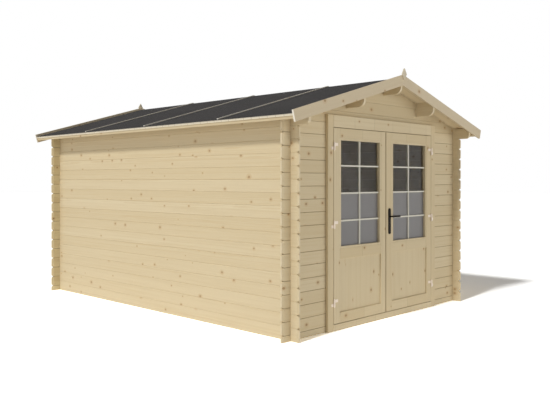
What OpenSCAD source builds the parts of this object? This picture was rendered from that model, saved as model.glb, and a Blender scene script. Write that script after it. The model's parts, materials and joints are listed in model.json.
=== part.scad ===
// Gabled log cabin with interlocking corner joints and glazed double doors.
// The origin is on the ground at the middle of the footprint; the doors face -Y.

/* [Log walls] */
// Height of one log course
log_h = 114; // [90:1:150]
// Thickness of the logs
log_t = 28; // [19:1:44]
// Number of full courses in each side wall
side_courses = 17; // [15:1:20]
// Width over the outer faces of the side walls
wall_w = 2731; // [2400:1:3600]
// Length over the outer faces of the front and back walls
wall_l = 3933; // [2400:1:5200]
// Length of the front and back log ends that stand past the side walls
stub_len = 103; // [60:1:140]
// Length of the side log ends that stand past the front and back walls
side_stub = 91; // [60:1:140]
// Length of the bevels at the log ends
end_bevel = 24; // [8:1:26]
// Height of the bevels above and below the log ends
end_drop = 15; // [6:1:20]
// Depth of the bevel on the sides of the log ends
end_side = 7; // [3:1:9]
// Bevel along the edges of each log, which makes the V joint
joint_bevel = 3; // [1:0.5:5]
// Width of the tongue on top of each log
tongue_w = 9; // [5:0.5:11]
// Height of the tongue on top of each log
tongue_h = 8; // [4:0.5:12]
// Radius under the end of the top side log, which carries the eaves
corbel_round = 48; // [20:1:80]

/* [Roof] */
// Pitch of the roof in degrees
roof_pitch = 16.1; // [12:0.1:20]
// Overhang of the front bargeboards past the front wall
front_overhang = 224; // [150:1:320]
// Overhang of the back bargeboards past the back wall
back_overhang = 200; // [150:1:320]
// Reach of the bargeboard tips past the side walls
eave_out = 212; // [150:1:280]
// Thickness of the roof boards
board_t = 18; // [14:1:24]
// Thickness of the roof felt
felt_t = 3; // [2:0.5:5]
// Overhang of the felt past the ends of the roof boards
felt_over = 4; // [2:1:10]
// Width of one strip of felt
felt_strip = 1130; // [800:1:1400]
// Width of the laths nailed over the felt joints
lath_w = 20; // [15:1:40]
// Thickness of the laths over the felt joints
lath_t = 9; // [6:1:15]
// Distance from the eave to the lower end of the laths
lath_short = 22; // [10:1:120]
// Width of the bargeboards
barge_w = 100; // [80:1:140]
// Thickness of the bargeboards
barge_t = 19; // [15:1:28]
// Height of the bargeboards above the felt
barge_rise = 26; // [10:1:40]
// Height of the eave battens under the roof boards
eave_batten_h = 28; // [18:1:45]
// Width of the eave battens
eave_batten_w = 44; // [25:1:70]
// Setback of the eave battens from the ends of the roof boards
eave_setback = 6; // [2:1:15]
// Height of the purlins
purlin_h = 134; // [110:1:170]
// Distance of the side purlins from the middle
purlin_x = 594; // [500:1:700]
// Radius under the purlin ends
purlin_round = 65; // [30:1:90]
// Height of the diamond finials
finial_h = 112; // [80:1:150]
// Width of the diamond finials
finial_w = 68; // [40:1:90]
// Thickness of the finials
finial_t = 18; // [12:1:25]

/* [Floor] */
// Height of the floor bearers
bearer_h = 40; // [30:1:50]
// Width of the floor bearers
bearer_w = 45; // [35:1:70]
// Number of floor bearers
bearer_count = 8; // [5:1:12]
// Thickness of the floor boards
floor_t = 18; // [15:1:24]
// Room left between the floor and the walls
floor_gap = 4; // [2:1:10]

/* [Door frame] */
// Width over the door frame
frame_w = 1813; // [1600:1:2000]
// Height of the top of the door frame above the side walls
frame_rise = 12; // [0:1:40]
// Width of the jambs
jamb_w = 78; // [65:1:100]
// Height of the head between the jambs
head_h = 110; // [80:1:130]
// Height of the sill between the jambs
sill_h = 60; // [58:1:80]
// Distance that the frame stands in front of the wall
frame_proud = 30; // [20:1:45]
// Distance that the frame stands behind the wall
frame_back = 20; // [15:1:40]
// Depth of the jamb grooves that take the log ends
groove_d = 20; // [12:1:30]
// Distance that the door stops stand in from the jambs
stop_w = 15; // [11:1:24]

/* [Door leaves] */
// Thickness of the leaves
leaf_t = 42; // [36:1:46]
// Running gap round the leaves
door_gap = 5; // [5:0.5:8]
// Gap where the two leaves meet
meet_gap = 12; // [8:0.5:14]
// Place of the meeting gap, left of the middle
meet_shift = 13; // [0:1:25]
// Width of the hinge stiles
stile_w = 87; // [70:1:110]
// Distance from the middle to the edge of the meeting stiles
meet_edge = 96; // [80:1:120]
// Height of the top rails
top_rail = 89; // [70:1:120]
// Height of the middle rails
mid_rail = 93; // [70:1:130]
// Height of the bottom rails
bottom_rail = 95; // [70:1:140]
// Height of the lower panels
panel_h = 486; // [350:1:650]
// Thickness of the lower panels
panel_t = 18; // [12:1:24]
// Setback of the lower panels from the face of the leaf
panel_set = 13; // [4:1:16]
// Thickness of the glass
glass_t = 4; // [3:1:6]
// Setback of the glass from the face of the leaf
glass_set = 28; // [14:1:30]

/* [Hinges and handle] */
// Diameter of the hinge knuckles
knuckle_d = 16; // [14:1:20]
// Height of one knuckle
knuckle_h = 34; // [25:1:45]
// Diameter of the hinge pins
pin_d = 8; // [6:0.5:10]
// Length of the plate on the leaf
leaf_plate = 58; // [35:1:75]
// Length of the plate on the jamb
jamb_plate = 34; // [25:1:50]
// Height of the hinge plates
plate_h = 26; // [18:1:32]
// Thickness of the hinge plates
plate_t = 3; // [2:0.5:4]
// Height of the lowest hinges above the foot of the leaves
hinge_low_in = 190; // [120:1:250]
// Distance of the highest hinges below the top of the leaves
hinge_high_in = 167; // [120:1:250]
// Height of the lever above the ground
lever_z = 1003; // [900:1:1100]
// Length of the lever from its spindle
lever_len = 122; // [100:1:140]
// Height of the lever
lever_h = 19; // [16:1:24]
// Thickness of the lever from front to back
lever_t = 13; // [9:1:16]
// Diameter of the neck that carries the lever
neck_d = 14; // [12:0.5:15]
// Distance of the front of the lever from the handle plate
lever_out = 46; // [38:1:60]
// Diameter of the lever spindle
spindle_d = 9; // [8:0.5:11]
// Height of the handle plates
handle_h = 256; // [200:1:280]
// Width of the handle plates
handle_w = 36; // [30:1:45]
// Thickness of the handle plates
handle_t = 7; // [5:1:10]
// Height of the lever above the middle of its plate
lever_rise = 47; // [20:1:60]

/* [Fits] */
// Room between pieces that rest on each other
seat = 0.4; // [0.2:0.1:0.8]
// Room on each side of a log in a corner notch
notch_gap = 0.5; // [0.3:0.1:1]
// Room round hinge pins and the lever spindle
pin_gap = 0.4; // [0.3:0.1:0.8]

/* [Hidden] */
$fn = 48;
// Overshoot of cuts past the faces that they open
over = 1;

pine = "#dcc8a2";
pine_pale = "#e4d4b0";
pine_deep = "#cfb88e";
felt_black = "#444343";
steel = "#d5d5d2";
glass_grey = "#8f908e";
iron = "#2a2826";

// Walls: the front, back and side faces, with the footprint centred on the origin
depth = wall_l + front_overhang + back_overhang;
y_front = front_overhang - depth / 2;
y_back = y_front + wall_l;
x_side = wall_w / 2;
side_h = side_courses * log_h;
cross_h = log_h / 4;
notch_w = log_t + 2 * notch_gap;
y_notches = [y_front + log_t / 2, y_back - log_t / 2];
x_notches = [log_t / 2 - x_side, x_side - log_t / 2];
x_stub = x_side + stub_len;

// Roof: the underside of the boards meets the outer top edge of the side walls
roof_apex = side_h + x_side * tan(roof_pitch);
felt_n = board_t + seat;
lath_n = felt_n + felt_t + seat;
barge_top = lath_n + barge_rise;
s_tip = (x_side + eave_out - barge_top * sin(roof_pitch)) / cos(roof_pitch);
s_boards = s_tip - felt_over;
y_roof_front = y_front - front_overhang + barge_t + seat;
y_roof_back = y_back + back_overhang - barge_t - seat;
roof_len = y_roof_back - y_roof_front;
gable_top = ceil(roof_apex / log_h - 0.5);

// Door frame and leaves, measured from the outer face of the front wall
y_frame = y_front - frame_proud;
frame_h = side_h + frame_rise;
frame_d = frame_proud + log_t + frame_back;
jamb_x = frame_w / 2 - jamb_w;
log_stop_x = frame_w / 2 - groove_d + seat;
leaf_edge = jamb_x - door_gap;
leaf_z0 = sill_h + door_gap;
leaf_z1 = frame_h - head_h - door_gap;
panel_z0 = leaf_z0 + bottom_rail;
panel_z1 = panel_z0 + panel_h;
glass_z0 = panel_z1 + mid_rail;
glass_z1 = leaf_z1 - top_rail;
open_x1 = leaf_edge - stile_w;
left_meet = -meet_shift - meet_gap / 2;
right_meet = -meet_shift + meet_gap / 2;
y_stop = y_frame + leaf_t + door_gap;
stop_d = y_frame + frame_d - y_stop;

// Hinges stand in front of the leaf faces, over the running gap
hinge_x = jamb_x - door_gap / 2;
hinge_y = y_frame - knuckle_d / 2 - seat;
hinge_low = leaf_z0 + hinge_low_in;
hinge_high = leaf_z1 - hinge_high_in;
hinge_z = [hinge_low, (hinge_low + hinge_high) / 2, hinge_high];
handle_x = (right_meet + meet_edge) / 2;
handle_z = lever_z - lever_rise;
neck_root = handle_t + 2 * seat;

// Height of the underside of the roof boards over a place x
function roof_z(x) = roof_apex - abs(x) * tan(roof_pitch);

// A point at distance s down the slope and height n above the underside of the boards
function slope_pt(s, n) = [
    s * cos(roof_pitch) + n * sin(roof_pitch),
    roof_apex - s * sin(roof_pitch) + n * cos(roof_pitch)
];

// A point over x near the ridge, at height n above the underside of the boards
function ridge_pt(x, n) = [x, roof_apex + n / cos(roof_pitch) - x * tan(roof_pitch)];

// Extrudes an outline drawn in X and Z along Y, from y0 to y1
module along_y(y0, y1) {
    translate([0, y1, 0])
        rotate([90, 0, 0])
            linear_extrude(y1 - y0)
                children();
}

module box(x0, x1, y0, y1, z0, z1) {
    translate([x0, y0, z0])
        cube([x1 - x0, y1 - y0, z1 - z0]);
}

// The space under the roof boards
module under_roof() {
    reach = x_stub + eave_out;
    drop = seat / cos(roof_pitch);
    along_y(-depth, depth)
        polygon([
            [-reach, -log_h], [reach, -log_h],
            [reach, roof_z(reach) - drop], [0, roof_apex - drop], [-reach, roof_z(reach) - drop]
        ]);
}

// End section of a log, with tongue, groove and bevelled edges
module log_section(z0, z1, tongue) {
    top = z1 - seat;
    rise = tongue ? tongue_h : 0;
    slot = tongue_w / 2 + seat;
    difference() {
        union() {
            polygon([
                [-log_t / 2, z0 + joint_bevel], [-log_t / 2 + joint_bevel, z0],
                [log_t / 2 - joint_bevel, z0], [log_t / 2, z0 + joint_bevel],
                [log_t / 2, top - joint_bevel], [log_t / 2 - joint_bevel, top],
                [-log_t / 2 + joint_bevel, top], [-log_t / 2, top - joint_bevel]
            ]);
            if (rise > 0)
                translate([-tongue_w / 2, top - rise])
                    square([tongue_w, 2 * rise]);
        }
        if (z0 > 0)
            translate([-slot, z0 - tongue_h])
                square([2 * slot, 2 * tongue_h + seat]);
    }
}

// Side outline of a log from u0 to u1, with bevelled ends and corner notches
module log_outline(u0, u1, z0, z1, notches, bevel0, bevel1, notch_low, notch_top) {
    top = z1 + tongue_h;
    low = z0 <= 0 ? 0 : 1;
    run = 1 + tongue_h / end_drop;
    drop0 = bevel0 > 0 ? end_drop : 0;
    drop1 = bevel1 > 0 ? end_drop : 0;
    difference() {
        polygon([
            [u0 + low * bevel0, z0], [u1 - low * bevel1, z0], [u1, z0 + low * drop1],
            [u1, top - run * drop1], [u1 - run * bevel1, top],
            [u0 + run * bevel0, top], [u0, top - run * drop0], [u0, z0 + low * drop0]
        ]);
        for (u = notches) {
            if (notch_low)
                translate([u - notch_w / 2, z0 - over])
                    square([notch_w, cross_h + over]);
            if (notch_top)
                translate([u - notch_w / 2, z1 - cross_h - seat])
                    square([notch_w, cross_h + seat + tongue_h + over]);
        }
    }
}

// Plan of the wedge that bevels one side of a log end, where the log ends at u = 0
module end_wedge() {
    face = log_t / 2;
    polygon([
        [-2 * end_bevel, face + end_side], [end_bevel, face - 2 * end_side], [end_bevel, face + end_side]
    ]);
}

// One log that lies along X, with its middle plane at y = 0
module log_piece(u0, u1, z0, z1, notches, bevel0, bevel1, notch_low = true, notch_top = true, tongue = true) {
    difference() {
        intersection() {
            rotate([90, 0, 0])
                linear_extrude(2 * log_t, center = true)
                    log_outline(u0, u1, z0, z1, notches, bevel0, bevel1, notch_low, notch_top);
            translate([u0 - over, 0, 0])
                rotate([90, 0, 90])
                    linear_extrude(u1 - u0 + 2 * over)
                        log_section(z0, z1, tongue);
        }
        translate([0, 0, z0 - log_h])
            linear_extrude(z1 - z0 + 2 * log_h)
                for (side = [0, 1])
                    mirror([0, side]) {
                        if (bevel0 > 0)
                            translate([u0, 0])
                                mirror([1, 0])
                                    end_wedge();
                        if (bevel1 > 0)
                            translate([u1, 0])
                                end_wedge();
                    }
    }
}

// Side outline of a timber that ends in rounded lower corners
module rounded_timber(u0, u1, z0, z1, r) {
    translate([u0, z0 + r])
        square([u1 - u0, z1 - z0 - r]);
    translate([u0 + r, z0])
        square([u1 - u0 - 2 * r, z1 - z0]);
    for (u = [u0 + r, u1 - r])
        translate([u, z0 + r])
            circle(r);
}

// Heights of the front and back courses, which lie half a course off the side walls
function course_z0(k) = max(0, (k - 0.5) * log_h);
function course_z1(k) = (k + 0.5) * log_h;

// Side wall; its top log runs on to the bargeboards and carries the eaves
module side_wall(side) {
    top_course = side_courses - 1;
    translate([side * (x_side - log_t / 2), 0, 0])
        rotate([0, 0, 90]) {
            for (n = [0 : top_course - 1])
                log_piece(y_front - side_stub, y_back + side_stub, n * log_h, (n + 1) * log_h,
                    y_notches, end_bevel, end_bevel);
            eave_log(top_course * log_h);
        }
}

// The top side log, level on top, with its outer edge under the roof boards
module eave_log(z0) {
    z1 = z0 + log_h - seat;
    intersection() {
        rotate([90, 0, 0])
            linear_extrude(2 * log_t, center = true)
                difference() {
                    rounded_timber(y_roof_front, y_roof_back, z0, z1, corbel_round);
                    for (u = y_notches) {
                        translate([u - notch_w / 2, z0 - over])
                            square([notch_w, cross_h + over]);
                        translate([u - notch_w / 2, z1 - cross_h])
                            square([notch_w, cross_h + over]);
                    }
                }
        translate([y_roof_front - over, 0, 0])
            rotate([90, 0, 90])
                linear_extrude(roof_len + 2 * over)
                    log_section(z0, z1 + 2 * joint_bevel, false);
    }
}

module left_wall_logs() { color(pine) side_wall(-1); }
module right_wall_logs() { color(pine) side_wall(1); }

module back_wall_logs() {
    color(pine)
        translate([0, y_back - log_t / 2, 0])
            for (k = [0 : side_courses - 1])
                log_piece(-x_stub, x_stub, course_z0(k), course_z1(k),
                    x_notches, end_bevel, end_bevel, k > 0);
}

// Front wall beside the doorway
module front_side_logs(side) {
    translate([0, y_front + log_t / 2, 0])
        for (k = [0 : side_courses - 1])
            if (side < 0)
                log_piece(-x_stub, -log_stop_x, course_z0(k), course_z1(k),
                    [x_notches[0]], end_bevel, 0, k > 0);
            else
                log_piece(log_stop_x, x_stub, course_z0(k), course_z1(k),
                    [x_notches[1]], 0, end_bevel, k > 0);
}

module front_wall_left_logs() { color(pine) front_side_logs(-1); }
module front_wall_right_logs() { color(pine) front_side_logs(1); }

// Slots in the gables for the purlins
module purlin_slots() {
    half = log_t / 2 + seat;
    for (x = [-purlin_x, 0, purlin_x])
        box(x - half, x + half, -depth, depth, roof_z(x) - purlin_h - seat, roof_apex + log_h);
}

// One course of a gable, planed to the roof slope
module gable_log(k, y) {
    crossing = k == side_courses;
    last = k == gable_top;
    difference() {
        intersection() {
            translate([0, y, 0])
                log_piece(-x_stub, x_stub, course_z0(k), course_z1(k), crossing ? x_notches : [],
                    end_bevel, end_bevel, true, false, !last);
            under_roof();
        }
        purlin_slots();
    }
}

module back_gable_logs() {
    color(pine)
        for (k = [side_courses : gable_top])
            gable_log(k, y_back - log_t / 2);
}

module front_gable_logs() {
    color(pine)
        for (k = [side_courses + 1 : gable_top])
            gable_log(k, y_front + log_t / 2);
}

// The log over the doorway, cut out for the door frame
module front_lintel_log() {
    color(pine)
        difference() {
            gable_log(side_courses, y_front + log_t / 2);
            box(-log_stop_x, log_stop_x, y_front - log_t, y_front + 2 * log_t, 0, frame_h + seat);
        }
}

// Purlin under the roof boards at a place x
module purlin(x) {
    z0 = roof_z(x) - purlin_h;
    intersection() {
        translate([x, 0, 0])
            rotate([0, 0, 90])
                rotate([90, 0, 0])
                    linear_extrude(log_t, center = true)
                        rounded_timber(y_roof_front, y_roof_back, z0, z0 + purlin_h + log_t, purlin_round);
        under_roof();
    }
}

module ridge_purlin() { color(pine_deep) purlin(0); }
module left_purlin() { color(pine_deep) purlin(-purlin_x); }
module right_purlin() { color(pine_deep) purlin(purlin_x); }

// Outline of a layer of the right roof slope, from the ridge to s1
module slope_layer(s1, n0, n1) {
    polygon([ridge_pt(seat / 2, n0), slope_pt(s1, n0), slope_pt(s1, n1), ridge_pt(seat / 2, n1)]);
}

module right_boards() {
    along_y(y_roof_front, y_roof_back)
        slope_layer(s_boards, 0, board_t);
}

module left_roof_boards() { color(pine_deep) mirror([1, 0, 0]) right_boards(); }
module right_roof_boards() { color(pine_deep) right_boards(); }

// Felt over one slope
module felt_slope() {
    polygon([
        ridge_pt(0, felt_n), slope_pt(s_tip, felt_n),
        slope_pt(s_tip, felt_n + felt_t), ridge_pt(0, felt_n + felt_t)
    ]);
}

// Joints of the felt, counted from the back of the roof
felt_joints = [for (y = [y_roof_back - felt_strip : -felt_strip : y_roof_front + felt_strip / 3]) y];
felt_edges = concat([y_roof_back + seat / 2], felt_joints, [y_roof_front - seat / 2]);

// Strips of felt that run from eave to eave over the ridge
module roof_felt() {
    color(felt_black)
        for (i = [1 : len(felt_edges) - 1])
            along_y(felt_edges[i] + seat / 2, felt_edges[i - 1] - seat / 2)
                union() {
                    felt_slope();
                    mirror([1, 0])
                        felt_slope();
                }
}

// Laths nailed over the felt joints
module right_laths() {
    for (y = felt_joints)
        along_y(y - lath_w / 2, y + lath_w / 2)
            polygon([
                ridge_pt(seat / 2, lath_n), slope_pt(s_tip - lath_short, lath_n),
                slope_pt(s_tip - lath_short, lath_n + lath_t), ridge_pt(seat / 2, lath_n + lath_t)
            ]);
}

module left_felt_laths() { color(pine_pale) mirror([1, 0, 0]) right_laths(); }
module right_felt_laths() { color(pine_pale) right_laths(); }

// Batten under the ends of the roof boards
module right_batten() {
    s1 = s_boards - eave_setback;
    s0 = s1 - eave_batten_w;
    along_y(y_roof_front, y_roof_back)
        polygon([
            slope_pt(s0, -seat - eave_batten_h), slope_pt(s1, -seat - eave_batten_h),
            slope_pt(s1, -seat), slope_pt(s0, -seat)
        ]);
}

module left_eave_batten() { color(pine_pale) mirror([1, 0, 0]) right_batten(); }
module right_eave_batten() { color(pine_pale) right_batten(); }

// Bargeboard of the right slope, with its outer face at y
module right_barge(y) {
    along_y(y, y + barge_t)
        slope_layer(s_tip, barge_top - barge_w, barge_top);
}

y_barge_back = y_back + back_overhang - barge_t;

module front_left_bargeboard() { color(pine) mirror([1, 0, 0]) right_barge(y_front - front_overhang); }
module front_right_bargeboard() { color(pine) right_barge(y_front - front_overhang); }
module back_left_bargeboard() { color(pine) mirror([1, 0, 0]) right_barge(y_barge_back); }
module back_right_bargeboard() { color(pine) right_barge(y_barge_back); }

// Diamond that covers the joint of two bargeboards
module finial(y) {
    middle = roof_apex + (barge_top - barge_w / 2) / cos(roof_pitch) + finial_h / 2;
    along_y(y, y + finial_t)
        polygon([
            [0, middle - finial_h / 2], [finial_w / 2, middle],
            [0, middle + finial_h / 2], [-finial_w / 2, middle]
        ]);
}

module front_finial() { color(pine_pale) finial(y_front - front_overhang - seat - finial_t); }
module back_finial() { color(pine_pale) finial(y_back + back_overhang + seat); }

// Floor, laid inside the walls and behind the door frame
x_floor = x_side - log_t - floor_gap;
y_floor_front = y_frame + frame_d + floor_gap;
y_floor_back = y_back - log_t - floor_gap;
bearer_pitch = (y_floor_back - y_floor_front - bearer_w) / (bearer_count - 1);

module floor_bearers() {
    x_end = x_side - log_t - seat;
    color(pine_deep)
        for (i = [0 : bearer_count - 1])
            translate([0, y_floor_front + i * bearer_pitch, 0])
                box(-x_end, x_end, 0, bearer_w, 0, bearer_h);
}

module floor_boards() {
    color(pine)
        box(-x_floor, x_floor, y_floor_front, y_floor_back, bearer_h + seat, bearer_h + seat + floor_t);
}

// Jamb with a groove for the log ends
module right_jamb() {
    slot = log_t / 2 + seat;
    difference() {
        box(jamb_x, frame_w / 2, y_frame, y_frame + frame_d, 0, frame_h);
        box(frame_w / 2 - groove_d, frame_w, y_front + log_t / 2 - slot, y_front + log_t / 2 + slot,
            -over, frame_h + over);
    }
}

module left_door_jamb() { color(pine_pale) mirror([1, 0, 0]) right_jamb(); }
module right_door_jamb() { color(pine_pale) right_jamb(); }

module door_head() {
    color(pine_pale)
        box(seat - jamb_x, jamb_x - seat, y_frame, y_frame + frame_d, frame_h - head_h, frame_h);
}

module door_sill() {
    color(pine_deep)
        box(seat - jamb_x, jamb_x - seat, y_frame, y_frame + frame_d, 0, sill_h);
}

// Stops behind the edges of the leaves
module door_stops() {
    y1 = y_stop + stop_d;
    inner = jamb_x - seat;
    color(pine_pale) {
        for (side = [0, 1])
            mirror([side, 0, 0])
                box(inner - stop_w, inner, y_stop, y1, sill_h + seat, frame_h - head_h - seat);
        box(stop_w + seat - inner, inner - stop_w - seat, y_stop, y1,
            frame_h - head_h - seat - stop_w, frame_h - head_h - seat);
        box(stop_w + seat - inner, inner - stop_w - seat, y_stop, y1,
            sill_h + seat, sill_h + seat + stop_w);
    }
}

// Stiles, rails, panel and glass of a leaf between x0 and x1, with its opening from a0 to a1
module leaf_stiles(x0, x1, a0, a1) {
    box(x0, a0, y_frame, y_frame + leaf_t, leaf_z0, leaf_z1);
    box(a1, x1, y_frame, y_frame + leaf_t, leaf_z0, leaf_z1);
}

module leaf_rails(a0, a1) {
    for (z = [[leaf_z0, panel_z0], [panel_z1, glass_z0], [glass_z1, leaf_z1]])
        box(a0 + seat, a1 - seat, y_frame, y_frame + leaf_t, z[0], z[1]);
}

module leaf_panel(a0, a1) {
    y0 = y_frame + panel_set;
    box(a0 + seat, a1 - seat, y0, y0 + panel_t, panel_z0 + seat, panel_z1 - seat);
}

module leaf_glass(a0, a1) {
    y0 = y_frame + glass_set;
    box(a0 + seat, a1 - seat, y0, y0 + glass_t, glass_z0 + seat, glass_z1 - seat);
}

module left_door_stiles() { color(pine) leaf_stiles(-leaf_edge, left_meet, -open_x1, -meet_edge); }
module left_door_rails() { color(pine) leaf_rails(-open_x1, -meet_edge); }
module left_door_panel() { color(pine_pale) leaf_panel(-open_x1, -meet_edge); }
module left_door_glass() { color(glass_grey) leaf_glass(-open_x1, -meet_edge); }
module right_door_rails() { color(pine) leaf_rails(meet_edge, open_x1); }
module right_door_panel() { color(pine_pale) leaf_panel(meet_edge, open_x1); }
module right_door_glass() { color(glass_grey) leaf_glass(meet_edge, open_x1); }

// The meeting stile of the right leaf is bored for the lever spindle
module right_door_stiles() {
    color(pine)
        difference() {
            leaf_stiles(right_meet, leaf_edge, meet_edge, open_x1);
            spindle_bore();
        }
}

// Hinge halves on the right side; the jamb half carries the pin
module jamb_hinge(z) {
    translate([hinge_x, hinge_y, z]) {
        translate([0, 0, -knuckle_h - seat / 2])
            cylinder(h = knuckle_h, d = knuckle_d);
        translate([0, 0, -knuckle_h])
            cylinder(h = 2 * knuckle_h - plate_t, d = pin_d);
        translate([0, knuckle_d / 2 - plate_t, -seat / 2 - (knuckle_h + plate_h) / 2])
            cube([jamb_plate, plate_t, plate_h]);
    }
}

module leaf_hinge(z) {
    translate([hinge_x, hinge_y, z])
        difference() {
            union() {
                translate([0, 0, seat / 2])
                    cylinder(h = knuckle_h, d = knuckle_d);
                translate([-leaf_plate, knuckle_d / 2 - plate_t, seat / 2 + (knuckle_h - plate_h) / 2])
                    cube([leaf_plate, plate_t, plate_h]);
            }
            translate([0, 0, -over])
                cylinder(h = knuckle_h - plate_t + over + pin_gap, d = pin_d + 2 * pin_gap);
        }
}

module left_jamb_hinges() { color(steel) mirror([1, 0, 0]) for (z = hinge_z) jamb_hinge(z); }
module right_jamb_hinges() { color(steel) for (z = hinge_z) jamb_hinge(z); }
module left_leaf_hinges() { color(steel) mirror([1, 0, 0]) for (z = hinge_z) leaf_hinge(z); }
module right_leaf_hinges() { color(steel) for (z = hinge_z) leaf_hinge(z); }

module spindle_bore() {
    translate([handle_x, y_frame - 2 * handle_t, lever_z])
        rotate([-90, 0, 0])
            cylinder(h = leaf_t + 4 * handle_t, d = spindle_d + 2 * pin_gap);
}

// Flat bar with round ends, whose end centres are at u0 and u1
module round_bar(u0, u1, width) {
    translate([u0, -width / 2])
        square([u1 - u0, width]);
    for (u = [u0, u1])
        translate([u, 0])
            circle(d = width);
}

// Long handle plates with rounded ends, on both faces of the right leaf
module handle_plates() {
    straight = handle_h - handle_w;
    color(iron)
        difference() {
            for (y = [y_frame - seat - handle_t, y_frame + leaf_t + seat])
                along_y(y, y + handle_t)
                    translate([handle_x, handle_z])
                        rotate(90)
                            round_bar(-straight / 2, straight / 2, handle_w);
            spindle_bore();
        }
}

// Lever on its neck, out from a face of the leaf along +Z
module lever_arm() {
    translate([0, 0, neck_root])
        cylinder(h = lever_out - lever_t / 2, d = neck_d);
    translate([0, 0, neck_root + lever_out - lever_t])
        linear_extrude(lever_t)
            round_bar(0, lever_len - lever_h / 2, lever_h);
}

// The spindle runs into the necks of both levers
module door_lever() {
    root = neck_root + lever_t;
    color(iron)
        translate([handle_x, y_frame, lever_z]) {
            rotate([90, 0, 0])
                lever_arm();
            translate([0, leaf_t, 0])
                rotate([-90, 0, 0])
                    lever_arm();
            translate([0, -root, 0])
                rotate([-90, 0, 0])
                    cylinder(h = leaf_t + 2 * root, d = spindle_d);
        }
}

left_wall_logs();
right_wall_logs();
back_wall_logs();
back_gable_logs();
front_wall_left_logs();
front_wall_right_logs();
front_lintel_log();
front_gable_logs();
ridge_purlin();
left_purlin();
right_purlin();
left_roof_boards();
right_roof_boards();
roof_felt();
left_felt_laths();
right_felt_laths();
left_eave_batten();
right_eave_batten();
front_left_bargeboard();
front_right_bargeboard();
back_left_bargeboard();
back_right_bargeboard();
front_finial();
back_finial();
floor_bearers();
floor_boards();
left_door_jamb();
right_door_jamb();
door_head();
door_sill();
door_stops();
left_door_stiles();
left_door_rails();
left_door_panel();
left_door_glass();
right_door_stiles();
right_door_rails();
right_door_panel();
right_door_glass();
left_jamb_hinges();
right_jamb_hinges();
left_leaf_hinges();
right_leaf_hinges();
handle_plates();
door_lever();
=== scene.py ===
import json
from math import cos, pi, radians, sin

import bmesh
import bpy
from mathutils import Matrix, Vector

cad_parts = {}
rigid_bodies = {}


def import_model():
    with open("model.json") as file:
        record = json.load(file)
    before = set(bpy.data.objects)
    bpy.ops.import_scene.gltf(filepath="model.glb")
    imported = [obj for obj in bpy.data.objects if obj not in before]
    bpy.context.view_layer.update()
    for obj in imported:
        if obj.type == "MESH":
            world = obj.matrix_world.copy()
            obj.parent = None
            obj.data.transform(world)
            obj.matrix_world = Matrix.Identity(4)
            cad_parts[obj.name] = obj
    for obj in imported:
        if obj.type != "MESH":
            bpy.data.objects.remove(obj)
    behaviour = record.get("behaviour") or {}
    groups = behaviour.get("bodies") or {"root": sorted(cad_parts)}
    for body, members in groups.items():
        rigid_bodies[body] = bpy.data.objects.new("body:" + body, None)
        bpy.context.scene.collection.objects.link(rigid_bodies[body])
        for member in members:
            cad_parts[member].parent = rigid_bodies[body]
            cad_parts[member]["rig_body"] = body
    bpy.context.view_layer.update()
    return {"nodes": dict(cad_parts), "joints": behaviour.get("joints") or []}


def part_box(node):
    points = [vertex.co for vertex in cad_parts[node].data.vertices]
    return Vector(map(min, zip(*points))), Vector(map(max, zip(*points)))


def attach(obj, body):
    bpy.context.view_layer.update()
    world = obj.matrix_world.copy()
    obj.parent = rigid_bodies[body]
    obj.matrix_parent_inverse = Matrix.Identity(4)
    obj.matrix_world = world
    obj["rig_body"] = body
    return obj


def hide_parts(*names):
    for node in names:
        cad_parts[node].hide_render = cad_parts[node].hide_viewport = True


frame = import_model()
print("frame loaded:", len(frame["nodes"]), "nodes")


# sRGB numbers as a colour picker shows them, turned into shader colours
def paint(*channels):
    return tuple((c / 255) ** 2.2 for c in channels) + (1.0,)


# One output socket; arithmetic on it adds Math nodes
class Wire:
    def __init__(self, finish, socket):
        self.finish = finish
        self.socket = socket

    def maths(self, operation, *values):
        return self.finish.node("ShaderNodeMath", {"operation": operation}, dict(enumerate(values)))

    def __add__(self, other):
        return self.maths("ADD", self, other)

    def __radd__(self, other):
        return self.maths("ADD", other, self)

    def __sub__(self, other):
        return self.maths("SUBTRACT", self, other)

    def __rsub__(self, other):
        return self.maths("SUBTRACT", other, self)

    def __mul__(self, other):
        return self.maths("MULTIPLY", self, other)

    def __rmul__(self, other):
        return self.maths("MULTIPLY", other, self)

    def __truediv__(self, other):
        return self.maths("DIVIDE", self, other)

    def __pow__(self, other):
        return self.maths("POWER", self, other)

    def __abs__(self):
        return self.maths("ABSOLUTE", self)

    def floor(self):
        return self.maths("FLOOR", self)

    def fraction(self):
        return self.maths("FRACT", self)

    def above(self, limit):
        return self.maths("GREATER_THAN", self, limit)

    def larger(self, other):
        return self.maths("MAXIMUM", self, other)

    # soft step from 0 at low to 1 at high
    def step(self, low, high):
        return self.finish.node("ShaderNodeMapRange", {"interpolation_type": "SMOOTHSTEP"},
                                {"Value": self, "From Min": low, "From Max": high})

    # another output of the same node
    def other(self, name):
        return Wire(self.finish, self.socket.node.outputs[name])


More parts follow.
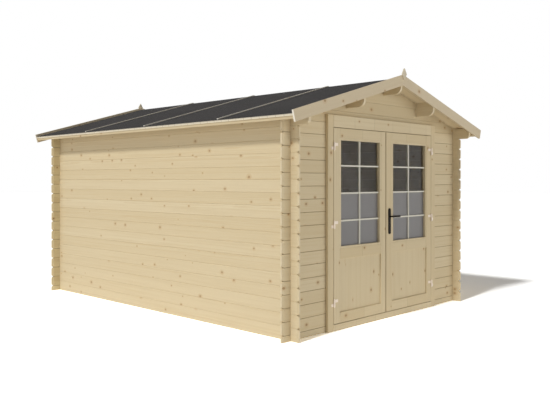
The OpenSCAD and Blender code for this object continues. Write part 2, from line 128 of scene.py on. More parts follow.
# A material or world with its node tree
class Finish:
    def __init__(self, owner):
        owner.use_nodes = True
        self.owner = owner
        self.tree = owner.node_tree

    def plug(self, socket, value):
        if isinstance(value, Wire):
            self.tree.links.new(value.socket, socket)
        else:
            socket.default_value = value

    def node(self, kind, settings=None, sockets=None, out=0):
        made = self.tree.nodes.new(kind)
        for key, value in (settings or {}).items():
            setattr(made, key, value)
        for key, value in (sockets or {}).items():
            self.plug(made.inputs[key], value)
        return Wire(self, made.outputs[out])

    def blend(self, factor, first, second):
        return self.node("ShaderNodeMix", {"data_type": "RGBA"}, {0: factor, 6: first, 7: second}, 2)

    def pack(self, x, y, z):
        return self.node("ShaderNodeCombineXYZ", {}, {0: x, 1: y, 2: z})

    def place(self):
        spot = self.node("ShaderNodeTexCoord", out="Object")
        x = self.node("ShaderNodeSeparateXYZ", {}, {0: spot}, "X")
        return x, x.other("Y"), x.other("Z")

    # three random numbers for a pair of whole numbers
    def chance(self, row, side):
        colour = self.node("ShaderNodeTexWhiteNoise", {"noise_dimensions": "2D"},
                           {"Vector": self.pack(row, side, 0)}, "Color")
        first = self.node("ShaderNodeSeparateColor", {}, {0: colour}, "Red")
        return first, first.other("Green"), first.other("Blue")

    # noise over a place that is scaled by one number or by three
    def noise(self, scale, place, detail=2.0, roughness=0.5):
        scales = scale if isinstance(scale, tuple) else (scale,) * 3
        x, y, z = (size * way for size, way in zip(scales, place))
        return self.node("ShaderNodeTexNoise", {"noise_dimensions": "3D"},
                         {"Vector": self.pack(x, y, z), "Scale": 1.0,
                          "Detail": detail, "Roughness": roughness})

    def bump(self, height, strength, distance):
        return self.node("ShaderNodeBump", {}, {"Height": height, "Strength": strength, "Distance": distance})

    def surface(self, sockets):
        shader = self.tree.nodes["Principled BSDF"]
        for key, value in sockets.items():
            self.plug(shader.inputs[key], value)
        return self.owner


def newFinish(name):
    return Finish(bpy.data.materials.new(name))


# Slope of the roof, shared by the boards and by the grain of what lies along it
roofSlope = {"pitch": radians(16.1), "boards": 45, "boardThick": 0.018, "boardEase": 0.0014,
             "cutSlack": 1e-6}

# Where the door leaves meet
meetingLine = -0.013


# A whole number for each of the pieces that lie about a metre apart
def apart(place):
    return (1.1 * place + 0.5).floor()


# Grain: along the fibres, across the face, through the plank, and which piece it is
def grainX(x, y, z):
    return x, z, y, apart(y)


def grainY(x, y, z):
    return y, z, abs(x), apart(x)


def grainZ(x, y, z):
    return z, x, y, apart(y) + 3 * x.above(meetingLine)


def grainFloor(x, y, z):
    return y, x, z, 0


def slopePlaces(x, z):
    c, s = cos(roofSlope["pitch"]), sin(roofSlope["pitch"])
    return c * abs(x) - s * z, s * abs(x) + c * z


def grainSlopeFace(x, y, z):
    down, out = slopePlaces(x, z)
    return down, out, y, 2 * x.above(0) + y.above(0)


def grainSlopeBoard(x, y, z):
    down, out = slopePlaces(x, z)
    return down, y, out, x.above(0)


# Planed spruce: pale, with thin rings, faint streaks and small brown knots
spruce = {
    "pale": paint(221, 207, 175), "deep": paint(206, 188, 151), "late": paint(190, 161, 117),
    "rim": paint(188, 154, 110), "core": paint(136, 102, 68), "end": paint(222, 208, 180),
    # seam colour: real glue lines of the finger joints, and painted shade in the V grooves
    "joint": paint(112, 90, 60),
    "tone": 0.5, "spread": 0.45, "streakTone": 0.55, "lateTone": 0.34, "rimTone": 0.45,
    "coreTone": 0.7, "fibreTone": 0.16, "endTone": 0.55, "jointTone": 0.5, "fingerTone": 0.35,
    "rowShift": 40, "knotCell": 0.17, "knotLong": 1.25, "knotRow": 5.3, "knotSide": 11.7,
    "knotShare": 0.42, "knotSmall": 0.0035, "knotRange": 0.009, "knotRagged": 0.002,
    "ringGap": 0.0048, "ringWaver": 1.1, "ringRoundKnot": 1.6,
    "pithDrift": 0.05, "pithSide": 0.14, "pithNear": 0.025, "pithRange": 0.075,
    "jointWide": 0.0042, "jointSharp": 0.001, "fingerGap": 0.0, "fingerWide": 0.0022,
    "raggedScale": (90, 160, 90), "driftScale": (0.55, 3, 7), "waverScale": (2.2, 26, 26),
    "streakScale": (0.9, 48, 48), "fibreScale": (9, 520, 520),
    "coreEdge": (0.75, 1.1), "haloEdge": (0.6, 3.2), "ringEdge": (0.9, 1.0),
    "streakEdge": (0.42, 0.72), "endEdge": (0.6, 0.9),
    "rough": 0.6, "fibreRough": 0.14, "coreSmooth": 0.12, "shine": 0.28,
    "ringHigh": 0.5, "fibreHigh": 0.4, "coreHigh": 0.5, "relief": (0.3, 0.0008),
}


def timber(name, grain, width, shift=0.0, face=0.0, seed=0, grooveShaded=False, change=None):
    look = dict(spruce, **(change or {}))
    f = newFinish(name)
    x, y, z = f.place()
    along, across, through, side = grain(x, y, z)
    row = (across / width + shift).floor()
    local = across - (row - shift + 0.5) * width
    toneChance, acrossChance, pithChance = f.chance(row, side + seed)
    u = along + look["rowShift"] * toneChance
    w = through - face
    spot = (u, local, w)

    # knots: one at most in each cell of the plank
    cell = look["knotCell"]
    cells = f.pack(u / (look["knotLong"] * cell),
                   local / cell + look["knotRow"] * row + look["knotSide"] * side, 0)
    gap = f.node("ShaderNodeTexVoronoi", {"voronoi_dimensions": "2D"},
                 {"Vector": cells, "Scale": 1.0}, "Distance")
    share = f.node("ShaderNodeSeparateColor", {}, {0: gap.other("Color")}, "Red")
    radius = look["knotSmall"] + look["knotRange"] * share.other("Green")
    kept = share.above(1 - look["knotShare"])
    ragged = gap * cell + look["knotRagged"] * (f.noise(look["raggedScale"], spot) - 0.5)
    core = kept * (1 - (ragged / radius).step(*look["coreEdge"]))
    halo = kept * (1 - (ragged / radius).step(*look["haloEdge"]))

    # rings round a pith that lies beside the plank and drifts along it
    drift = look["pithDrift"] * (f.noise(look["driftScale"], (u, row, side)) - 0.5)
    sideways = local + look["pithSide"] * (acrossChance - 0.5) + drift
    deep = w + look["pithNear"] + look["pithRange"] * pithChance
    reach = (sideways * sideways + deep * deep) ** 0.5
    waver = f.noise(look["waverScale"], spot, detail=3.0)
    phase = (reach / look["ringGap"] + look["ringWaver"] * waver + look["ringRoundKnot"] * halo).fraction()
    late = phase ** 3 * (1 - phase.step(*look["ringEdge"]))

    streak = f.noise(look["streakScale"], spot, detail=4.0, roughness=0.6)
    fibre = f.noise(look["fibreScale"], spot)

    # glued lengths of some pieces differ a little in tone
    fingers = look["fingerGap"]
    tone = look["tone"] + look["spread"] * (toneChance - 0.5)
    if fingers:
        length = u / fingers
        tone = tone + look["fingerTone"] * (f.chance(length.floor(), row)[0] - 0.5)
    colour = f.blend(tone, look["pale"], look["deep"])
    colour = f.blend(look["streakTone"] * streak.step(*look["streakEdge"]), colour, look["deep"])
    colour = f.blend(look["lateTone"] * late, colour, look["late"])
    colour = f.blend(look["rimTone"] * halo, colour, look["rim"])
    colour = f.blend(look["coreTone"] * core, colour, look["core"])
    colour = f.blend(look["fibreTone"] * fibre, colour, look["late"])

    # end grain, where the face looks along the fibres
    normal = f.node("ShaderNodeTexCoord", out="Normal")
    facing = f.node("ShaderNodeSeparateXYZ", {}, {0: normal}, "X")
    onEnd = abs(grain(facing, facing.other("Y"), facing.other("Z"))[0]).step(*look["endEdge"])
    colour = f.blend(look["endTone"] * onEnd, colour, look["end"])
    if fingers:
        seam = abs(length.fraction() - 0.5).step(0.5 - look["fingerWide"] / fingers, 0.5)
        colour = f.blend(look["jointTone"] * seam, colour, look["joint"])
    # painted shade in the V grooves: the face darkens towards each long edge of a plank or log
    if grooveShaded:
        edge = abs(local).step(width / 2 - look["jointWide"], width / 2 - look["jointSharp"])
        colour = f.blend(look["jointTone"] * edge, colour, look["joint"])

    height = look["ringHigh"] * late + look["fibreHigh"] * fibre + look["coreHigh"] * core
    return f.surface({
        "Base Color": colour, "Specular IOR Level": look["shine"],
        "Roughness": look["rough"] + look["fibreRough"] * fibre - look["coreSmooth"] * core,
        "Normal": f.bump(height, *look["relief"]),
    })


# Width of one plank across the grain, and the depth that the pith is measured from
plank = {"log": 0.114, "purlin": 5.0, "barge": 7.0, "cross": 0.5, "upright": 0.42, "panel": 0.107}
depth = {"side": 1.3515, "end": -1.94, "frame": -1.945, "leaf": -1.965}

wallSideWood = timber("wallSideSpruce", grainY, plank["log"], face=depth["side"],
                      change={"spread": 0.4, "coreTone": 0.55})
wallEndWood = timber("wallEndSpruce", grainX, plank["log"], shift=0.5, face=depth["end"], seed=17,
                     grooveShaded=True)
# paler copy of the end-wall spruce for the back wall: painted light, standing for the warm bounce off the
# sunlit left wall
wallBackPaintedLightWood = timber("wallBackSpruce", grainX, plank["log"], shift=0.5, face=depth["end"], seed=17,
                      grooveShaded=True, change={"pale": paint(229, 216, 179), "deep": paint(214, 198, 155)})
# darker copy of the end-wall spruce for the gables and lintel, with fainter groove shade: painted shade,
# where less light reaches under the roof
gablePaintedShadeWood = timber("gableSpruce", grainX, plank["log"], shift=0.5, face=depth["end"], seed=19,
                   grooveShaded=True, change={"pale": paint(212, 198, 166), "deep": paint(197, 180, 144),
                                         "jointTone": 0.1})
purlinWood = timber("purlinSpruce", grainY, plank["purlin"], seed=29, change={"knotShare": 0.35})
bargeWood = timber("bargeboardSpruce", grainSlopeFace, plank["barge"], seed=37,
                   change={"pale": paint(215, 202, 176), "deep": paint(202, 186, 156),
                           "end": paint(238, 231, 216), "spread": 0.2, "endTone": 0.9})
lathWood = timber("lathSpruce", grainSlopeBoard, plank["cross"], seed=41,
                  change={"pale": paint(213, 209, 198), "deep": paint(197, 192, 180),
                          "end": paint(246, 240, 228), "knotShare": 0.15, "endTone": 0.95})
finialWood = timber("finialSpruce", grainZ, plank["upright"], shift=0.5, seed=43,
                    change={"pale": paint(215, 206, 185), "deep": paint(200, 190, 166),
                            "knotShare": 0.0, "tone": 0.3})
bearerWood = timber("bearerSpruce", grainX, plank["purlin"], seed=47)
jambWood = timber("jambSpruce", grainZ, plank["upright"], shift=0.5, face=depth["frame"], seed=53,
                  change={"knotShare": 0.3})
headWood = timber("headSpruce", grainX, plank["cross"], face=depth["frame"], seed=59,
                  change={"knotShare": 0.3, "fingerGap": 0.31})
stileWood = timber("stileSpruce", grainZ, plank["upright"], shift=0.5, face=depth["leaf"], seed=61,
                   change={"knotShare": 0.22})
railWood = timber("railSpruce", grainX, plank["cross"], face=depth["leaf"], seed=67,
                  change={"knotShare": 0.15, "fingerGap": 0.37})
panelWood = timber("panelSpruce", grainZ, plank["panel"], face=depth["leaf"], seed=71,
                   change={"spread": 0.2, "lateTone": 0.18})
print("timber finishes made")


# Mineral felt: dark grey granules with soft patches
feltLook = {"dark": paint(58, 57, 57), "light": paint(86, 84, 83), "grit": paint(126, 124, 121),
            "patchScale": 1.3, "patchTone": 0.55, "grainScale": 420, "grainTone": 0.45, "speckScale": 260,
            "speckEdge": (0.86, 0.97), "speckTone": 0.4, "speckHigh": 0.6, "rough": 0.86,
            "grainRough": 0.1, "shine": 0.02, "relief": (0.6, 0.0012)}


def feltFinish():
    f = newFinish("mineralFelt")
    spot = f.place()
    patch = f.noise(feltLook["patchScale"], spot, detail=4.0, roughness=0.6)
    grain = f.noise(feltLook["grainScale"], spot, roughness=0.7)
    cells = f.pack(*(feltLook["speckScale"] * way for way in spot))
    speck = f.node("ShaderNodeTexVoronoi", {}, {"Vector": cells, "Scale": 1.0}, "Color")
    bright = f.node("ShaderNodeSeparateColor", {}, {0: speck}, "Red").step(*feltLook["speckEdge"])
    mottle = feltLook["patchTone"] * patch + feltLook["grainTone"] * grain
    colour = f.blend(mottle, feltLook["dark"], feltLook["light"])
    colour = f.blend(feltLook["speckTone"] * bright, colour, feltLook["grit"])
    return f.surface({
        "Base Color": colour, "Roughness": feltLook["rough"] + feltLook["grainRough"] * grain,
        "Specular IOR Level": feltLook["shine"],
        "Normal": f.bump(grain + feltLook["speckHigh"] * bright, *feltLook["relief"]),
    })


# Bright zinc on the hinges and screws
zincLook = {"dull": paint(226, 211, 194), "bright": paint(240, 226, 210), "spangleScale": 140,
            "rubScale": (900, 900, 60), "metal": 0.25, "rough": 0.28, "spangleRough": 0.14,
            "rubRough": 0.06, "relief": (0.08, 0.0004)}


def zincFinish():
    f = newFinish("brightZinc")
    spot = f.place()
    spangle = f.noise(zincLook["spangleScale"], spot, detail=3.0)
    rub = f.noise(zincLook["rubScale"], spot)
    rough = zincLook["rough"] + zincLook["spangleRough"] * spangle + zincLook["rubRough"] * rub
    return f.surface({
        "Base Color": f.blend(spangle, zincLook["dull"], zincLook["bright"]),
        "Metallic": zincLook["metal"], "Roughness": rough, "Normal": f.bump(rub, *zincLook["relief"]),
    })


# Black powder coat on the handle
ironLook = {"coat": paint(30, 25, 20), "worn": paint(50, 43, 35), "peelScale": 700, "wornScale": 60,
            "wornEdge": (0.55, 0.8), "rough": 0.45, "wornRough": 0.16, "shine": 0.12,
            "relief": (0.18, 0.0004)}


def ironFinish():
    f = newFinish("blackCoatedIron")
    spot = f.place()
    peel = f.noise(ironLook["peelScale"], spot)
    worn = f.noise(ironLook["wornScale"], spot, detail=4.0, roughness=0.65)
    return f.surface({
        "Base Color": f.blend(worn.step(*ironLook["wornEdge"]), ironLook["coat"], ironLook["worn"]),
        "Roughness": ironLook["rough"] + ironLook["wornRough"] * worn,
        "Specular IOR Level": ironLook["shine"], "Normal": f.bump(peel, *ironLook["relief"]),
    })


# Clear panes above the middle bar, obscured panes below it
clearLook = {"clean": paint(236, 233, 227), "smeared": paint(224, 220, 213), "rippleScale": (5, 5, 3),
             "smearScale": (14, 14, 9), "toneEdge": (0.5, 0.8), "rough": 0.015, "smearRough": 0.03,
             "roughEdge": (0.55, 0.85), "bend": 1.2, "through": 0.99, "relief": (0.05, 0.002)}
obscuredLook = {"dark": paint(128, 125, 123), "light": paint(141, 138, 136), "frostScale": 1100,
                "frostTone": 0.5, "cloudScale": 6, "cloudTone": 0.5, "rough": 0.3, "frostRough": 0.14,
                "bend": 1.46, "through": 0.3, "relief": (0.15, 0.0003)}


def clearGlassFinish():
    f = newFinish("clearGlass")
    spot = f.place()
    ripple = f.noise(clearLook["rippleScale"], spot, detail=1.0)
    smear = f.noise(clearLook["smearScale"], spot, detail=4.0, roughness=0.6)
    tone = f.blend(smear.step(*clearLook["toneEdge"]), clearLook["clean"], clearLook["smeared"])
    return f.surface({
        "Base Color": tone, "IOR": clearLook["bend"], "Transmission Weight": clearLook["through"],
        "Roughness": clearLook["rough"] + clearLook["smearRough"] * smear.step(*clearLook["roughEdge"]),
        "Normal": f.bump(ripple, *clearLook["relief"]),
    })


def obscuredGlassFinish():
    f = newFinish("obscuredGlass")
    spot = f.place()
    frost = f.noise(obscuredLook["frostScale"], spot, roughness=0.7)
    cloud = f.noise(obscuredLook["cloudScale"], spot, detail=3.0)
    mottle = obscuredLook["frostTone"] * frost + obscuredLook["cloudTone"] * cloud
    return f.surface({
        "Base Color": f.blend(mottle, obscuredLook["dark"], obscuredLook["light"]),
        "Roughness": obscuredLook["rough"] + obscuredLook["frostRough"] * frost,
        "IOR": obscuredLook["bend"], "Transmission Weight": obscuredLook["through"],
        "Normal": f.bump(frost, *obscuredLook["relief"]),
    })


# Glazing bars: spruce under a thin cream stain
barLook = {"cream": paint(226, 223, 210), "bare": paint(208, 203, 185), "grainScale": (60, 60, 5),
           "grainTone": 0.6, "wearScale": 25, "wearTone": 0.4, "rough": 0.5, "grainRough": 0.15,
           "shine": 0.3, "relief": (0.15, 0.0005)}


def barFinish():
    f = newFinish("creamStainedSpruce")
    spot = f.place()
    grain = f.noise(barLook["grainScale"], spot, detail=3.0)
    wear = f.noise(barLook["wearScale"], spot, detail=3.0)
    mottle = barLook["grainTone"] * grain + barLook["wearTone"] * wear
    return f.surface({
        "Base Color": f.blend(mottle, barLook["cream"], barLook["bare"]),
        "Roughness": barLook["rough"] + barLook["grainRough"] * grain,
        "Specular IOR Level": barLook["shine"], "Normal": f.bump(grain, *barLook["relief"]),
    })


felt, zinc, iron = feltFinish(), zincFinish(), ironFinish()
clearGlass, obscuredGlass, barWood = clearGlassFinish(), obscuredGlassFinish(), barFinish()
print("felt, metal and glass finishes made")


# Makes an object of a bmesh with its finish, rides it on its body and hides the CAD nodes it stands for
def addPiece(name, bm, body, slotName, finish, *nodes):
    mesh = bpy.data.meshes.new(name)
    bm.to_mesh(mesh)
    bm.free()
    mesh.materials.append(finish)
    piece = bpy.data.objects.new(name, mesh)
    bpy.context.scene.collection.objects.link(piece)
    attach(piece, body)
    if nodes:
        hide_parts(*nodes)


def bodyOf(node):
    return frame["nodes"][node]["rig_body"]


def bar(bm, low, high):
    verts = bmesh.ops.create_cube(bm, size=1)["verts"]
    bmesh.ops.scale(bm, vec=Vector(high) - Vector(low), verts=verts)
    bmesh.ops.translate(bm, vec=(Vector(low) + Vector(high)) / 2, verts=verts)


def ease(bm, edges, width, segments=2):
    bmesh.ops.bevel(bm, geom=edges, offset=width, offset_type="OFFSET", segments=segments,
                    profile=0.5, affect="EDGES", material=-1, clamp_overlap=True)


# Cosine from which an edge or a face counts as turned along an axis
nearlyAlong = 0.9


def lyingAlong(edges, axis):
    return [e for e in edges if abs((e.verts[1].co - e.verts[0].co).normalized()[axis]) > nearlyAlong]


# Finishes of the CAD nodes that show as they are
nodeFinishes = {
    wallSideWood: ["left_wall_logs", "right_wall_logs"],
    wallEndWood: ["front_wall_left_logs", "front_wall_right_logs"],
    wallBackPaintedLightWood: ["back_wall_logs"],
    gablePaintedShadeWood: ["back_gable_logs", "front_lintel_log", "front_gable_logs"],
    felt: ["roof_felt"],
    bearerWood: ["floor_bearers"],
    zinc: ["left_jamb_hinges", "right_jamb_hinges", "left_leaf_hinges", "right_leaf_hinges"],
}

for finish, names in nodeFinishes.items():
    for name in names:
        frame["nodes"][name].material_slots[0].material = finish
print("finishes set on the CAD nodes")

# Planed timbers with their sharp edges taken off
easedTimbers = {
    "purlin": {"finish": purlinWood, "slot": "roof_pine", "ease": 0.0025,
               "nodes": ["ridge_purlin", "left_purlin", "right_purlin"]},
    "batten": {"finish": purlinWood, "slot": "trim_pine", "ease": 0.002,
               "nodes": ["left_eave_batten", "right_eave_batten"]},
    "bargeboard": {"finish": bargeWood, "slot": "trim_pine", "ease": 0.0025,
                   "nodes": ["front_left_bargeboard", "front_right_bargeboard",
                             "back_left_bargeboard", "back_right_bargeboard"]},
    "lath": {"finish": lathWood, "slot": "trim_pine", "ease": 0.0015,
             "nodes": ["left_felt_laths", "right_felt_laths"]},
    "finial": {"finish": finialWood, "slot": "trim_pine", "ease": 0.003,
               "nodes": ["front_finial", "back_finial"]},
    "jamb": {"finish": jambWood, "slot": "trim_pine", "ease": 0.0025,
             "nodes": ["left_door_jamb", "right_door_jamb", "door_stops"]},
    "head": {"finish": headWood, "slot": "trim_pine", "ease": 0.002, "nodes": ["door_head", "door_sill"]},
    "stile": {"finish": stileWood, "slot": "door_pine", "ease": 0.0022,
              "nodes": ["left_door_stiles", "right_door_stiles"]},
    "rail": {"finish": railWood, "slot": "door_pine", "ease": 0.0018,
             "nodes": ["left_door_rails", "right_door_rails"]},
    "panel": {"finish": panelWood, "slot": "door_pine", "ease": 0.0015,
              "nodes": ["left_door_panel", "right_door_panel"]},
    "plate": {"finish": iron, "slot": "black_iron", "ease": 0.0025, "nodes": ["handle_plates"]},
    "lever": {"finish": iron, "slot": "black_iron", "ease": 0.0045, "nodes": ["door_lever"]},
}


# Faces of a solid within the flat angle are one, and its edges past the sharp angle are eased
easing = {"weld": 1e-5, "flat": radians(1), "sharp": radians(25)}


def easedCopy(node, width):
    bm = bmesh.new()
    bm.from_mesh(frame["nodes"][node].data)
    bmesh.ops.remove_doubles(bm, verts=bm.verts, dist=easing["weld"])
    bmesh.ops.dissolve_limit(bm, angle_limit=easing["flat"], verts=bm.verts, edges=bm.edges)
    sharp = [e for e in bm.edges if e.is_manifold and e.calc_face_angle_signed() > easing["sharp"]]
    ease(bm, sharp, width)
    return bm


for kind in easedTimbers.values():
    for node in kind["nodes"]:
        addPiece(node + "_eased", easedCopy(node, kind["ease"]), bodyOf(node),
                 kind["slot"], kind["finish"], node)
print("eased timbers made")


# Roof boards of one slope, laid side by side along the ridge with V joints
def roofBoards(node, side):
    low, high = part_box(node)
    pitch, thick = roofSlope["pitch"], roofSlope["boardThick"]
    apex = high.z - thick / cos(pitch)
    end = (max(abs(low.x), abs(high.x)) - thick * sin(pitch)) / cos(pitch)
    wide = (high.y - low.y) / roofSlope["boards"]
    bm = bmesh.new()
    for i in range(roofSlope["boards"]):
        first = low.y + i * wide
        bar(bm, (-thick, first, 0), (end, first + wide, thick))
    ease(bm, lyingAlong(bm.edges, 0), roofSlope["boardEase"], 1)
    bmesh.ops.rotate(bm, matrix=Matrix.Rotation(pitch, 3, "Y"), verts=bm.verts)
    bmesh.ops.translate(bm, vec=(0, 0, apex), verts=bm.verts)
    cut = bmesh.ops.bisect_plane(bm, geom=bm.verts[:] + bm.edges[:] + bm.faces[:], clear_outer=True,
                                 plane_co=(min(abs(low.x), abs(high.x)), 0, 0), plane_no=(-1, 0, 0),
                                 dist=roofSlope["cutSlack"])
    rims = [g for g in cut["geom_cut"] if isinstance(g, bmesh.types.BMEdge)]
    bmesh.ops.holes_fill(bm, edges=rims)
    bmesh.ops.scale(bm, vec=(side, 1, 1), verts=bm.verts)
    bmesh.ops.recalc_face_normals(bm, faces=bm.faces)
    boardWood = timber(node + "Spruce", grainSlopeBoard, wide, shift=-low.y / wide,
                       face=apex * cos(pitch), seed=73, grooveShaded=True,
                       change={"pale": paint(227, 212, 178), "deep": paint(212, 193, 154),
                               "end": paint(232, 224, 204), "jointWide": 0.003, "endTone": 0.75})
    addPiece(node + "_laid", bm, "cabin", "roof_pine", boardWood, node)


roofBoards("left_roof_boards", -1)
roofBoards("right_roof_boards", 1)
print("roof boards laid")

# Floor boards along the room, across the bearers
floorLook = {"boards": 30, "ease": 0.0015}


def floorBoards():
    low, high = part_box("floor_boards")
    wide = (high.x - low.x) / floorLook["boards"]
    bm = bmesh.new()
    for i in range(floorLook["boards"]):
        first = low.x + i * wide
        bar(bm, (first, low.y, low.z), (first + wide, high.y, high.z))
    ease(bm, lyingAlong(bm.edges, 1), floorLook["ease"], 1)
    boardWood = timber("floorSpruce", grainFloor, wide, shift=-low.x / wide, face=high.z, seed=79,
                       grooveShaded=True, change={"jointWide": 0.0025})
    addPiece("floor_boards_laid", bm, "cabin", "floor_pine", boardWood, "floor_boards")


floorBoards()
print("floor boards laid")

# Glazing of a leaf: two by four panes, bars on both faces and beads round the opening
glazing = {"across": 2, "up": 4, "beadWide": 0.019, "beadSunk": 0.0015, "beadEase": 0.003,
           "barWide": 0.015, "barDeep": 0.012, "barShare": 0.8, "ease": 0.002, "easeFrom": 0.0009,
           "longEdge": 0.03, "fit": 0.0003, "clearFrom": 2}


def beadFrame(bm, low, high, y, out):
    wide, tall, bead = high.x - low.x, high.z - low.z, glazing["beadWide"]
    corners = bmesh.ops.create_grid(bm, x_segments=1, y_segments=1, size=0.5)["verts"]
    bmesh.ops.rotate(bm, matrix=Matrix.Rotation(pi / 2, 3, "X"), verts=corners)
    bmesh.ops.scale(bm, vec=(wide, 1, tall), verts=corners)
    bmesh.ops.translate(bm, vec=((low.x + high.x) / 2, y, (low.z + high.z) / 2), verts=corners)
    pane = list(corners[0].link_faces)
    ring = bmesh.ops.inset_region(bm, faces=pane, thickness=bead, use_boundary=True,
                                  use_even_offset=True)["faces"]
    bmesh.ops.delete(bm, geom=pane, context="FACES_ONLY")
    raised = bmesh.ops.extrude_face_region(bm, geom=ring)["geom"]
    top = [g for g in raised if isinstance(g, bmesh.types.BMVert)]
    bmesh.ops.translate(bm, vec=(0, out, 0), verts=top)
    inner = [v for v in top if low.x + bead / 2 < v.co.x < high.x - bead / 2]
    rim = [e for e in bm.edges if e.verts[0] in inner and e.verts[1] in inner]
    ease(bm, rim, glazing["beadEase"])


def glazeLeaf(side):
    node, body = side + "_door_glass", side + "_door"
    low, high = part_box(node)
    leafLow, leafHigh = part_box(side + "_door_stiles")
    half, fit, deep = glazing["barWide"] / 2, glazing["fit"], glazing["barDeep"]
    stepX, stepZ = (high.x - low.x) / glazing["across"], (high.z - low.z) / glazing["up"]
    panes = {"clear": bmesh.new(), "obscured": bmesh.new()}
    for column in range(glazing["across"]):
        for level in range(glazing["up"]):
            kind = "clear" if level >= glazing["clearFrom"] else "obscured"
            x0, z0 = low.x + column * stepX, low.z + level * stepZ
            bar(panes[kind], (x0 + fit, low.y, z0 + fit), (x0 + stepX - fit, high.y, z0 + stepZ - fit))
    addPiece(side + "_clear_panes", panes["clear"], body, "door_glass", clearGlass, node)
    addPiece(side + "_obscured_panes", panes["obscured"], body, "door_glass", obscuredGlass, node)

    beads, bars = bmesh.new(), bmesh.new()
    sunk = glazing["beadSunk"]
    for face, rim, out in ((low.y - fit, leafLow.y + sunk, -1), (high.y + fit, leafHigh.y - sunk, 1)):
        beadFrame(beads, low, high, face, rim - face)
        clear = glazing["beadWide"] + fit
        y0, y1 = sorted((face, face + out * min(deep, glazing["barShare"] * abs(rim - face))))
        for column in range(1, glazing["across"]):
            x = low.x + column * stepX
            bar(bars, (x - half, y0, low.z + clear), (x + half, y1, high.z - clear))
        for level in range(1, glazing["up"]):
            z = low.z + level * stepZ
            for column in range(glazing["across"]):
                x0 = low.x + column * stepX + (half + fit if column else clear)
                x1 = low.x + (column + 1) * stepX - (clear if column == glazing["across"] - 1 else half + fit)
                bar(bars, (x0, y0, z - half), (x1, y1, z + half))
    bmesh.ops.recalc_face_normals(beads, faces=beads.faces)
    fronts = [e for e in bars.edges if e.calc_length() > glazing["longEdge"]
              and min(abs(v.co.y - y) for v in e.verts for y in (low.y, high.y)) > glazing["easeFrom"]]
    ease(bars, fronts, glazing["ease"])
    addPiece(side + "_glazing_beads", beads, body, "door_pine", stileWood)
    addPiece(side + "_glazing_bars", bars, body, "trim_pine", barWood)


for side in ("left", "right"):
    glazeLeaf(side)
print("leaves glazed")


# A round fastener head standing on a face, with a socket where it is a screw
heads = {"sides": 14, "topShare": 0.72, "rimShare": 0.34, "socketDeep": 0.6}


def fastener(bm, place, facing, radius, height, socket):
    before = set(bm.verts)
    cone = bmesh.ops.create_cone(bm, cap_ends=True, cap_tris=False, segments=heads["sides"],
                                 radius1=radius, radius2=heads["topShare"] * radius, depth=height)["verts"]
    if socket:
        top = [f for f in {face for v in cone for face in v.link_faces} if f.normal.z > nearlyAlong]
        bmesh.ops.inset_region(bm, faces=top, thickness=heads["rimShare"] * radius)
        bmesh.ops.translate(bm, vec=(0, 0, -heads["socketDeep"] * height), verts=list(top[0].verts))
    made = [v for v in bm.verts if v not in before]
    turn = Vector((0, 0, 1)).rotation_difference(Vector(facing)).to_matrix()
    bmesh.ops.translate(bm, vec=(0, 0, height / 2), verts=made)
    bmesh.ops.rotate(bm, matrix=turn, verts=made)
    bmesh.ops.translate(bm, vec=place, verts=made)


# Screws and pin caps of the hinges, and screws of the handle plates
hardware = {"screw": 0.0042, "screwHigh": 0.0011, "plateScrews": (0.028, 0.048), "jambScrew": 0.024,
            "plateThick": 0.003, "knuckle": 0.008, "knuckleHigh": 0.034, "cap": 0.0072, "capHigh": 0.004,
            "handleScrewIn": 0.016, "seat": 0.0002}


def hingeDetails(side):
    axis = next(j for j in frame["joints"] if j["name"] == side + "_door_swing")["pos_m"]
    way = 1 if axis[0] > 0 else -1
    low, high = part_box(side + "_leaf_hinges")
    first, last = low.z - hardware["seat"], high.z - hardware["knuckleHigh"] - hardware["seat"]
    face = axis[1] + hardware["knuckle"] - hardware["plateThick"]
    middle = hardware["seat"] + hardware["knuckleHigh"] / 2
    onLeaf, onJamb = bmesh.new(), bmesh.new()
    for z in (first, (first + last) / 2, last):
        for reach in hardware["plateScrews"]:
            fastener(onLeaf, (axis[0] - way * reach, face, z + middle), (0, -1, 0),
                     hardware["screw"], hardware["screwHigh"], True)
        fastener(onJamb, (axis[0] + way * hardware["jambScrew"], face, z - middle), (0, -1, 0),
                 hardware["screw"], hardware["screwHigh"], True)
        ends = hardware["knuckleHigh"] + hardware["seat"]
        fastener(onLeaf, (axis[0], axis[1], z + ends), (0, 0, 1),
                 hardware["cap"], hardware["capHigh"], False)
        fastener(onJamb, (axis[0], axis[1], z - ends), (0, 0, -1),
                 hardware["cap"], hardware["capHigh"], False)
    addPiece(side + "_leaf_hinge_screws", onLeaf, side + "_door", "hinge_zinc", zinc)
    addPiece(side + "_jamb_hinge_screws", onJamb, "cabin", "hinge_zinc", zinc)


def handleScrews():
    low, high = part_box("handle_plates")
    middle = (low.x + high.x) / 2
    bm = bmesh.new()
    for y, facing in ((low.y, -1), (high.y, 1)):
        for z in (low.z + hardware["handleScrewIn"], high.z - hardware["handleScrewIn"]):
            fastener(bm, (middle, y, z), (0, facing, 0), hardware["screw"], hardware["screwHigh"], True)
    addPiece("handle_screws", bm, "right_door", "black_iron", iron)


hingeDetails("left")
hingeDetails("right")
handleScrews()
print("hinge and handle fasteners made")

# Nails through the laths and the bargeboards
nails = {"radius": 0.003, "high": 0.0007, "lathFrom": 0.06, "lathStep": 0.2, "lathEnd": 0.02,
         "lathHalf": 0.01, "bargeFrom": 0.08, "bargeStep": 0.45, "bargeSpread": 0.03, "bargeDown": 0.052}


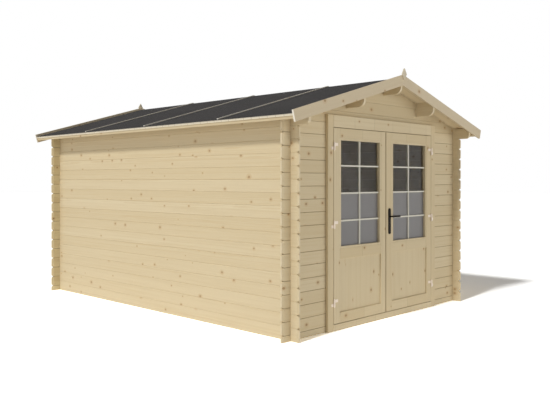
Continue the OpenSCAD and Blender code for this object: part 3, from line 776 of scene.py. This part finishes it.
def roofNails():
    pitch = roofSlope["pitch"]
    low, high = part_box("right_felt_laths")
    rows = [low.y + nails["lathHalf"], (low.y + high.y) / 2, high.y - nails["lathHalf"]]
    top = high.z
    bm = bmesh.new()
    for side in (-1, 1):
        facing = Vector((side * sin(pitch), 0, cos(pitch)))
        down = Vector((side * cos(pitch), 0, -sin(pitch)))
        length = high.x / cos(pitch)
        for y in rows:
            reach = nails["lathFrom"]
            while reach < length - nails["lathEnd"]:
                fastener(bm, Vector((0, y, top)) + down * reach, facing,
                         nails["radius"], nails["high"], False)
                reach += nails["lathStep"]
    for node, facing in (("front_right_bargeboard", -1), ("back_right_bargeboard", 1)):
        low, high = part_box(node)
        y = low.y if facing < 0 else high.y
        for side in (-1, 1):
            down = Vector((side * cos(pitch), 0, -sin(pitch)))
            reach = nails["bargeFrom"]
            while reach < high.x / cos(pitch):
                for drop in (-nails["bargeSpread"], nails["bargeSpread"]):
                    place = Vector((0, y, high.z - nails["bargeDown"] + drop)) + down * reach
                    fastener(bm, place, (0, facing, 0), nails["radius"], nails["high"], False)
                reach += nails["bargeStep"]
    addPiece("roof_nails", bm, "cabin", "hinge_zinc", zinc)


roofNails()
print("roof nails driven")

# White studio: a floor that keeps the shadow, a soft horizon, a key from the left and low fills all round.
# The fills rise from just under the horizon, as off a white floor, so the floor lets them through
studio = {"floorSize": 60.0, "floorTone": 1.0, "floorSeen": 2.0, "horizon": 0.6, "zenith": 0.12,
          "glowFrom": 0.1, "glowTo": 0.45}

lamps = {
    "keyLamp": {"way": (1.0, 0.11, -1.0), "power": 1.8, "soft": 6.0},
    "frontLamp": {"way": (-0.5, 1.0, 0.28), "power": 1.04, "soft": 60.0},
    "leftLamp": {"way": (1.0, -0.3, 0.25), "power": 0.83, "soft": 60.0},
    "backLamp": {"way": (-1.0, -0.8, 0.3), "power": 0.85, "soft": 60.0},
}


# 1 for what the camera sees directly, in a reflection or through glass
def seenDirectly(f):
    camera = f.node("ShaderNodeLightPath", out="Is Camera Ray")
    return camera.larger(camera.other("Is Glossy Ray")).larger(camera.other("Is Transmission Ray"))


def studioFloor():
    f = newFinish("paleFloor")
    seen = seenDirectly(f)
    tone = studio["floorTone"] + (studio["floorSeen"] - studio["floorTone"]) * seen
    coat = f.node("ShaderNodeBsdfDiffuse", {}, {"Color": f.pack(tone, tone, tone)})
    f.plug(f.tree.nodes["Material Output"].inputs["Surface"], coat)
    bm = bmesh.new()
    bmesh.ops.create_grid(bm, x_segments=1, y_segments=1, size=studio["floorSize"])
    mesh = bpy.data.meshes.new("studioFloor")
    bm.to_mesh(mesh)
    bm.free()
    mesh.materials.append(f.owner)
    floor = bpy.data.objects.new("studioFloor", mesh)
    bpy.context.scene.collection.objects.link(floor)
    floor.visible_shadow = False


# The walls are lit from the horizon, and the floor, which faces the dim zenith, keeps a clear shadow
def studioSky():
    f = Finish(bpy.data.worlds.new("studioSky"))
    way = f.node("ShaderNodeTexCoord", out="Generated")
    up = f.node("ShaderNodeSeparateXYZ", {}, {0: way}, "Z")
    fade = up.step(studio["glowFrom"], studio["glowTo"])
    level = studio["horizon"] - (studio["horizon"] - studio["zenith"]) * fade
    seen = seenDirectly(f)
    backdrop = f.tree.nodes["Background"]
    f.plug(backdrop.inputs["Color"], (1, 1, 1, 1))
    f.plug(backdrop.inputs["Strength"], level * (1 - seen) + seen)
    bpy.context.scene.world = f.owner


# The panes don't mirror the lamps
def lamp(name, way, power, soft):
    light = bpy.data.lights.new(name, "SUN")
    light.energy = power
    light.angle = radians(soft)
    holder = bpy.data.objects.new(name, light)
    holder.rotation_euler = Vector(way).to_track_quat("-Z", "Y").to_euler()
    holder.visible_glossy = False
    bpy.context.scene.collection.objects.link(holder)


studioFloor()
studioSky()
for name, light in lamps.items():
    lamp(name, **light)
print("studio set up")

# Camera at the photographer's place: level, with the frame lowered a little
view = {"place": (-5.5707, -5.8294, 1.3626), "turn": -46.02, "lens": 44.32, "sensor": 36.0, "shift": -0.0471}


def photoCamera():
    lens = bpy.data.cameras.new("photoCamera")
    lens.sensor_fit = "HORIZONTAL"
    lens.sensor_width = view["sensor"]
    lens.lens = view["lens"]
    lens.shift_y = view["shift"]
    camera = bpy.data.objects.new("photoCamera", lens)
    camera.location = view["place"]
    camera.rotation_euler = (radians(90), 0, radians(view["turn"]))
    bpy.context.scene.collection.objects.link(camera)
    bpy.context.scene.camera = camera


photoCamera()
bpy.context.scene.view_settings.view_transform = "Standard"
print("camera placed")
